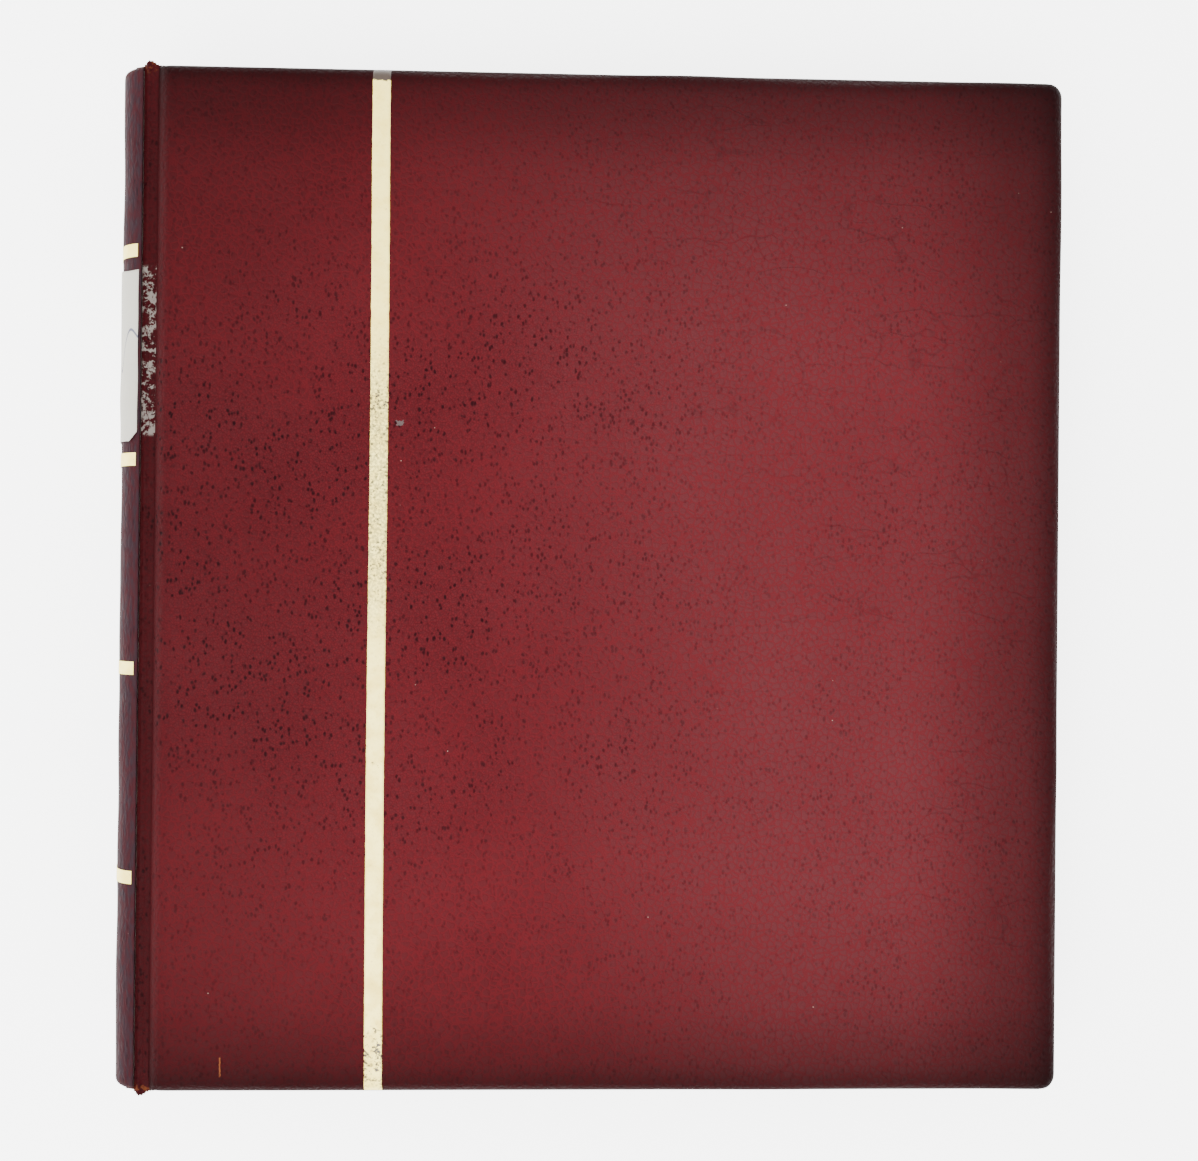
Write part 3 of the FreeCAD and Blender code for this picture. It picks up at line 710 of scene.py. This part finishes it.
def gold_line(finish):
    """The worn gold line down the front cover, following its padding."""
    cover = bpy.context.scene.coin_album_cover
    middle = COVER_START + cover.line_middle
    sides = np.linspace(-0.5, 0.5, 9)
    ys = spread(0.6 - HALF_HEIGHT, HALF_HEIGHT - 0.6, 700, 0.3)
    lift = 0.05
    layers = []
    for raised in (lift, -lift):
        for y in ys:
            ragged = 0.012 * waves(np.full(1, y), np.zeros(1), 31, 1.5, 6)[0]
            width = cover.line_width * (1 + ragged)
            x = middle + width * sides + 0.10 * math.sin(y / 31)
            z = outer_height(x, np.full(x.shape, y), FRONT_SEED) + raised
            layers.append(np.column_stack([x, np.full(x.shape, y), z]))
    points = np.concatenate(layers)
    half = len(ys) * len(sides)
    faces = strips(len(ys), len(sides)) + strips(len(ys), len(sides), start=half)
    last = len(sides) - 1
    for row in range(len(ys) - 1):
        here, above = row * len(sides), (row + 1) * len(sides)
        for column in (0, last):
            faces.append((here + column, above + column, half + above + column,
                          half + here + column))
    for row in (0, len(ys) - 1):
        for column in range(last):
            here = row * len(sides) + column
            faces.append((here, here + 1, half + here + 1, half + here))
    return new_piece("front_cover_gold_foil", front_place(points), faces, finish)


# ---- spine ---------------------------------------------------------------------------

def back_arc(inset, face_x, steps=40):
    """Points of the rounded back from its low edge to its high edge, drawn in."""
    spine = bpy.context.scene.coin_album_spine
    crown_x = SPINE_LOW.x + spine.crown
    shoulder_z = spine.height / 2 - spine.shoulder
    reach = spine.crown - spine.shoulder
    lean = math.asin(shoulder_z / reach)
    shoulder_x = crown_x - reach * math.cos(lean)
    radius = spine.shoulder - inset
    end = math.acos(max(-1.0, min(1.0, (shoulder_x - face_x) / radius)))
    half = []
    for turn in np.linspace(0, lean, steps // 2, endpoint=False):
        half.append((crown_x - (spine.crown - inset) * math.cos(turn),
                     (spine.crown - inset) * math.sin(turn)))
    for turn in np.linspace(lean, end, steps // 2):
        half.append((shoulder_x - radius * math.cos(turn), shoulder_z + radius * math.sin(turn)))
    return [(x, -z) for x, z in half[:0:-1]] + half


def spine_skin(finish):
    """The spine's leather and padding as one closed piece that holds its board."""
    spine = bpy.context.scene.coin_album_spine
    leather = bpy.context.scene.coin_album_cover.leather
    board_x = box_mm("spine_board")[0].x
    rounds = spine.end_round
    ys = [(HALF_HEIGHT - rounds * (1 - math.sin(turn)), rounds * (1 - math.cos(turn)))
          for turn in np.linspace(0, math.pi / 2, 7)]
    stations = [(-y, inset) for y, inset in ys[::-1]]
    stations += [(y, 0.0) for y in np.linspace(-HALF_HEIGHT, HALF_HEIGHT, 90)
                 if abs(y) < ys[0][0] - 0.5] + ys
    points, columns = [], 0
    for y, inset in stations:
        outer = back_arc(inset, SPINE_FACE)
        lip = back_arc(leather, SPINE_FACE)
        lip_low, lip_high = lip[0], lip[-1]
        inner = back_arc(leather, board_x)
        section = outer + [lip_high, inner[-1], (board_x, 0), inner[0], lip_low]
        columns = len(section)
        for number, (x, z) in enumerate(section):
            soft = 0.14 * waves(np.array([y]), np.array([z]), 12, 22, 60)[0]
            soft = soft if number < len(outer) else 0.0
            points.append((x + soft * smooth(SPINE_FACE - x, 1, 5), y, MIDDLE_Z + z))
    faces = strips(len(stations), columns, closed=True)
    for start in (0, (len(stations) - 1) * columns):
        faces.append(tuple(range(start, start + columns)))
    return new_piece("spine_skin", points, faces, finish)


def spine_label(finish):
    """The paper label on the spine, lifted a little, with one corner folded back."""
    spine = bpy.context.scene.coin_album_spine
    low, high = box_mm("spine_label")
    arc = back_arc(-0.12, SPINE_FACE - 0.6, 80)
    arc = np.array([point for point in arc if point[1] + MIDDLE_Z > low.z - 0.05])
    travelled = np.concatenate([[0], np.cumsum(np.hypot(*np.diff(arc, axis=0).T))])
    whole = travelled[-1]
    ys = np.linspace(low.y, high.y, 60)
    along = np.linspace(0, whole, 46)
    layers = []
    for lift in (0.14, 0.02):
        for y in ys:
            for way in along:
                ragged = 0.16 * waves(np.array([way]), np.array([0.0]), 5, 6, 20)[0]
                edge = y + ragged * (1 if y > high.y - 1 else 0)
                loose = 0.16 * (1 + waves(np.array([y]), np.array([way]), 8, 9, 26)[0]) / 2
                fold = max(0.0, (spine.label_fold - (y - low.y) - (whole - way)) / 2)
                near = way - 0.75 * fold
                x = np.interp(near, travelled, arc[:, 0])
                z = np.interp(near, travelled, arc[:, 1])
                out = lift + loose + min(fold, 0.9) * 0.5
                lean = math.atan2(z, 30.0)
                layers.append((x - out * math.cos(lean), edge + 0.75 * fold,
                               MIDDLE_Z + z + out * math.sin(lean)))
    return new_piece("spine_paper_label", layers, sheet(len(ys), len(along)), finish)


# ---- joints --------------------------------------------------------------------------

def joint_strip(name, axis, side, depth_low, depth_high, finish, frayed):
    """A flexible strip between the spine and a cover, grooved along its two creases."""
    start, end = SPINE_FACE + 0.05, axis.x + COVER_START + 0.6
    xs = np.linspace(start, end, 22)
    ys = spread(-HALF_HEIGHT, HALF_HEIGHT, 260, 0.6)
    points = []
    for depth, sign in ((depth_high, 1), (depth_low, -1)):
        for y in ys:
            to_end = HALF_HEIGHT - abs(y)
            lip = float(1 - smooth(to_end, 0, 4)) if frayed else 0.0
            across = xs - SPINE_FACE
            groove = (0.26 * np.exp(-((across - 0.35) / 0.35) ** 2)
                      + 0.20 * np.exp(-((across - 2.0) / 0.28) ** 2))
            pucker = 0.05 * waves(xs, np.full(xs.shape, y), 17, 3, 14)
            z = depth + (pucker - groove) * (1 if sign > 0 else 0.6)
            z = z + lip * (0.9 * np.exp(-((across - 1.4) / 0.9) ** 2))
            tip = 1.1 * np.exp(-((across - 2.0) / 1.3) ** 2) + 0.18 * np.sin(across * 9)
            reach = y + np.sign(y) * lip * (0.3 + tip)
            for x, height, place_y in zip(xs, z, np.broadcast_to(reach, xs.shape)):
                points.append((x, place_y, axis.z + side * height))
    return new_piece(name, points, sheet(len(ys), len(xs)), finish)


# ---- operators -----------------------------------------------------------------------

class CoinAlbumOperator:
    """What every operator of this add-on shares."""

    bl_options = {"REGISTER", "UNDO"}

    def execute(self, context):
        """Build the pieces and say that it is done."""
        self.build(context)
        return {"FINISHED"}


def paint(finish, slot, *nodes):
    """Give frame nodes a finish; the slot is not used."""
    for node in nodes:
        piece = frame["nodes"][node]
        piece.data.materials.clear()
        piece.data.materials.append(finish.material)


class COINALBUM_OT_covers(CoinAlbumOperator, bpy.types.Operator):
    """Build the padded leather of both covers."""

    bl_idname = "coin_album.covers"
    bl_label = "Padded covers"

    def build(self, context):
        """Make both skins and let them ride on their covers."""
        finish = leather_finish("burgundy_leather_cover", cover=True)
        for name, seed, placed in (("front", FRONT_SEED, front_place),
                                   ("back", BACK_SEED, back_place)):
            skin = cover_skin(f"{name}_cover_skin", seed, placed, finish)
            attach(skin, f"{name}_cover")
            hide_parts(f"{name}_cover_leather", f"{name}_cover_padding")


class COINALBUM_OT_gold(CoinAlbumOperator, bpy.types.Operator):
    """Build the gold line and finish the gold bars on the spine."""

    bl_idname = "coin_album.gold"
    bl_label = "Gold foil"

    def build(self, context):
        """Lay the line on the front cover and give the spine's bars their foil."""
        line = gold_line(gold_finish("gold_foil_line", line=True))
        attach(line, "front_cover")
        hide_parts("front_cover_gold_line")
        paint(gold_finish("gold_foil_bars"), "gold_foil", "spine_gold_bars")


class COINALBUM_OT_spine(CoinAlbumOperator, bpy.types.Operator):
    """Build the padded leather of the spine and its paper label."""

    bl_idname = "coin_album.spine"
    bl_label = "Spine and label"

    def build(self, context):
        """Make the skin and the label and let them ride on the spine."""
        # The spine's leather is darkened by painted shade.
        skin = spine_skin(leather_finish("burgundy_leather_spine", (1.2, 0.45, 1.2),
                                         painted_shade=0.45))
        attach(skin, "spine")
        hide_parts("spine_leather", "spine_padding")
        paper = paper_finish("label_paper_aged", (0.40, 0.385, 0.335), (0.35, 0.33, 0.28),
                             stain=(0.26, 0.21, 0.14), ink=(0.012, 0.016, 0.075))
        label = spine_label(paper)
        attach(label, "spine")
        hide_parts("spine_label")


class COINALBUM_OT_joints(CoinAlbumOperator, bpy.types.Operator):
    """Build the flexible strips between the spine and the covers."""

    bl_idname = "coin_album.joints"
    bl_label = "Joint strips"

    def build(self, context):
        """Make a leather and a lining strip for each joint."""
        # The joint's leather is darkened by painted shade.
        leather = leather_finish("burgundy_leather_joint", painted_shade=0.62, glue=True)
        lining = paper_finish("lining_paper_joint", LINING_DEEP, LINING, emboss=0.7)
        for name, axis, side in (("front", FRONT_AXIS, 1), ("back", BACK_AXIS, -1)):
            outer = INNER_RIM + bpy.context.scene.coin_album_cover.leather
            for kind, low, high, finish, slot in (
                    ("leather", INNER_RIM, outer, leather, "burgundy_leather"),
                    ("lining", INNER_RIM - 0.3, INNER_RIM, lining, "lining_paper")):
                strip = joint_strip(f"{name}_joint_{kind}_strip", axis, side, low, high,
                                    finish, kind == "leather")
                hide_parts(f"{name}_joint_{kind}")
                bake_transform(strip)


class COINALBUM_OT_inside(CoinAlbumOperator, bpy.types.Operator):
    """Finish the boards, cards and linings inside the covers and the spine."""

    bl_idname = "coin_album.inside"
    bl_label = "Boards and linings"

    def build(self, context):
        """Give each hidden or inner layer its own finish."""
        board = paper_finish("greyboard_raw", (0.36, 0.33, 0.28), (0.46, 0.42, 0.36), 420.0)
        lining = paper_finish("lining_paper_embossed", LINING_DEEP, LINING, emboss=0.7)
        paint(board, "greyboard", "spine_board", *(
            f"{name}_cover_{layer}" for name in ("front", "back")
            for layer in ("board", "filling_card")))
        paint(lining, "lining_paper", "spine_lining", "front_cover_lining",
              "back_cover_lining")
        paint(foam_finish("foam_open"), "foam", "front_cover_padding", "back_cover_padding",
              "spine_padding")


class COINALBUM_OT_mechanism(CoinAlbumOperator, bpy.types.Operator):
    """Finish the rail, the blades and the rings."""

    bl_idname = "coin_album.mechanism"
    bl_label = "Ring mechanism"

    def build(self, context):
        """Give every steel node the same nickel finish."""
        rings = [node for node in frame["nodes"] if "half_ring" in node]
        paint(steel_finish("ring_steel_nickel"), "ring_steel", "mechanism_rail",
              "mechanism_rivets", "lower_blade", "upper_blade", *rings)


class COINALBUM_OT_leaves(CoinAlbumOperator, bpy.types.Operator):
    """Finish the pocket sheets and the cards between them."""

    bl_idname = "coin_album.leaves"
    bl_label = "Leaves"

    def build(self, context):
        """Give the sheets welded film and the cards soft paper."""
        card = paper_finish("interleaf_card_soft", (0.20, 0.19, 0.165), (0.25, 0.235, 0.20))
        film = film_finish("clear_film_pockets")
        paint(film, "clear_film", *(n for n in frame["nodes"] if "pocket_sheet" in n))
        paint(card, "interleaf_card", *(n for n in frame["nodes"] if "interleaf" in n))


class COINALBUM_OT_stage(CoinAlbumOperator, bpy.types.Operator):
    """Set the floor, the lights and the camera."""

    bl_idname = "coin_album.stage"
    bl_label = "Floor, lights and camera"

    def build(self, context):
        """Put the album on a pale floor under soft light."""
        stage = context.scene.coin_album_stage
        corners = [(across * FLOOR_HALF, along * FLOOR_HALF, FLOOR_LEVEL)
                   for across, along in ((-1, -1), (1, -1), (1, 1), (-1, 1))]
        floor = new_piece("floor", corners, [(0, 1, 2, 3)], floor_finish("pale_floor"))
        for name, watts, side, place, target in (
                ("key_light", stage.key_power, 0.70, (-0.15, -0.35, 0.95), (0, 0, 0.03)),
                ("fill_light", stage.fill_power, 0.35, (-0.75, 0.05, 0.25), (-0.1, 0, 0.03))):
            lamp = bpy.data.lights.new(name, "AREA")
            lamp.energy, lamp.size = watts, side
            holder = bpy.data.objects.new(name, lamp)
            holder.location = place
            holder.rotation_euler = (Vector(target) - Vector(place)).to_track_quat(
                "-Z", "Y").to_euler()
            context.scene.collection.objects.link(holder)
        world = bpy.data.worlds.new("pale_surroundings")
        world.use_nodes = True
        sky = world.node_tree.nodes["Background"]
        sky.inputs["Color"].default_value = (1.0, 1.0, 1.0, 1.0)
        sky.inputs["Strength"].default_value = stage.sky
        context.scene.world = world
        camera = bpy.data.cameras.new("camera")
        camera.lens, camera.sensor_width = stage.lens, 36.0
        camera.clip_start = 0.01
        holder = bpy.data.objects.new("camera", camera)
        turn = Euler(stage.camera_turn, "XYZ").to_matrix().transposed()
        holder.matrix_world = Matrix.Translation(Vector(stage.camera) * MM) @ turn.to_4x4()
        context.scene.collection.objects.link(holder)
        context.scene.camera = holder


class COINALBUM_PT_sidebar(bpy.types.Panel):
    """Lists what the add-on builds."""

    bl_idname = "COINALBUM_PT_sidebar"
    bl_label = "Coin album"
    bl_space_type = "VIEW_3D"
    bl_region_type = "UI"
    bl_category = "Coin album"

    def draw(self, context):
        """Show a button for each operator, in order."""
        for operator in OPERATORS:
            self.layout.operator(operator.bl_idname)


OPERATORS = (COINALBUM_OT_covers, COINALBUM_OT_gold, COINALBUM_OT_spine, COINALBUM_OT_joints,
             COINALBUM_OT_inside, COINALBUM_OT_mechanism, COINALBUM_OT_leaves,
             COINALBUM_OT_stage)
SETTINGS = {"coin_album_cover": CoinAlbumCoverSettings,
            "coin_album_spine": CoinAlbumSpineSettings,
            "coin_album_stage": CoinAlbumStageSettings}


def register():
    """Make the settings, operators and panel known to Blender."""
    for name, group in SETTINGS.items():
        bpy.utils.register_class(group)
        setattr(bpy.types.Scene, name, bpy.props.PointerProperty(type=group))
    for operator in OPERATORS:
        bpy.utils.register_class(operator)
    bpy.utils.register_class(COINALBUM_PT_sidebar)


def unregister():
    """Take them away again."""
    bpy.utils.unregister_class(COINALBUM_PT_sidebar)
    for operator in reversed(OPERATORS):
        bpy.utils.unregister_class(operator)
    for name, group in SETTINGS.items():
        delattr(bpy.types.Scene, name)
        bpy.utils.unregister_class(group)


def main():
    """Register the add-on and build every piece in order."""
    register()
    for operator in OPERATORS:
        group, name = operator.bl_idname.split(".")
        getattr(getattr(bpy.ops, group), name)()


if __name__ == "__main__":
    main()
